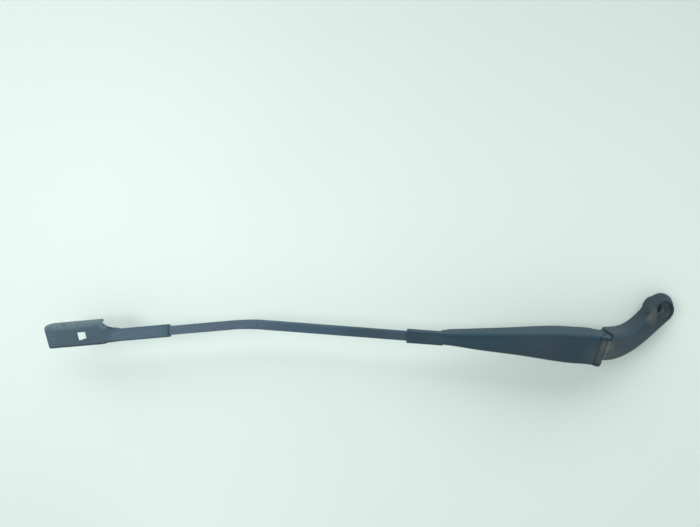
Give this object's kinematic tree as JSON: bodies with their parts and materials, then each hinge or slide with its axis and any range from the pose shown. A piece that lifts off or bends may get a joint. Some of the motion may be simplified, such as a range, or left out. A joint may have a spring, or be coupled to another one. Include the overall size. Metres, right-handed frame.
{
  "type": "windscreen wiper arm",
  "caption": "Black windscreen wiper arm: cast head with a nut recess, spring-loaded hinged channel, bent flat rod and a folded blade connector with a window.",
  "frame": {"origin": "centre of the nut seat in the head, on the axis of the spindle bore", "axes": "+X along the arm's channel and rod towards the blade, +Z square to the channel's web and away from the windscreen, +Y across the arm on the side the rod bends to"},
  "size_m": [0.6444, 0.0993, 0.0454],
  "materials": {
    "painted_sheet": "satin",
    "painted_bar": "satin",
    "painted_casting": "satin black paint",
    "pin_steel": "dull",
    "spring_steel": "oiled",
    "bush_plastic": "matte"
  },
  "bodies": {
    "head": {"mounting_head": "painted_casting", "hinge_bush_lower": "bush_plastic", "hinge_bush_upper": "bush_plastic", "spring_pin": "pin_steel"},
    "arm": {"arm_channel": "painted_sheet", "arm_rod": "painted_bar", "blade_connector": "painted_sheet", "hinge_pin": "pin_steel", "tension_spring": "spring_steel"},
    "link": {"spring_link": "pin_steel"}
  },
  "joints": [
    {"name": "arm_lift", "type": "hinge", "parent": "head", "child": "arm", "pos_m": [0.0613, 0.039, 0.021], "axis": [-0.1305, -0.9914, 0], "range_deg": [0, 80], "deforming": ["tension_spring"]},
    {"name": "link_turn", "type": "hinge", "parent": "head", "child": "link", "pos_m": [0.06824, 0.03809, 0.016], "axis": [-0.1305, -0.9914, 0], "range_deg": [0, 81.2]}
  ],
  "couplings": [
    {"joint": "link_turn", "follows": "arm_lift", "ratio": 1.0141}
  ]
}
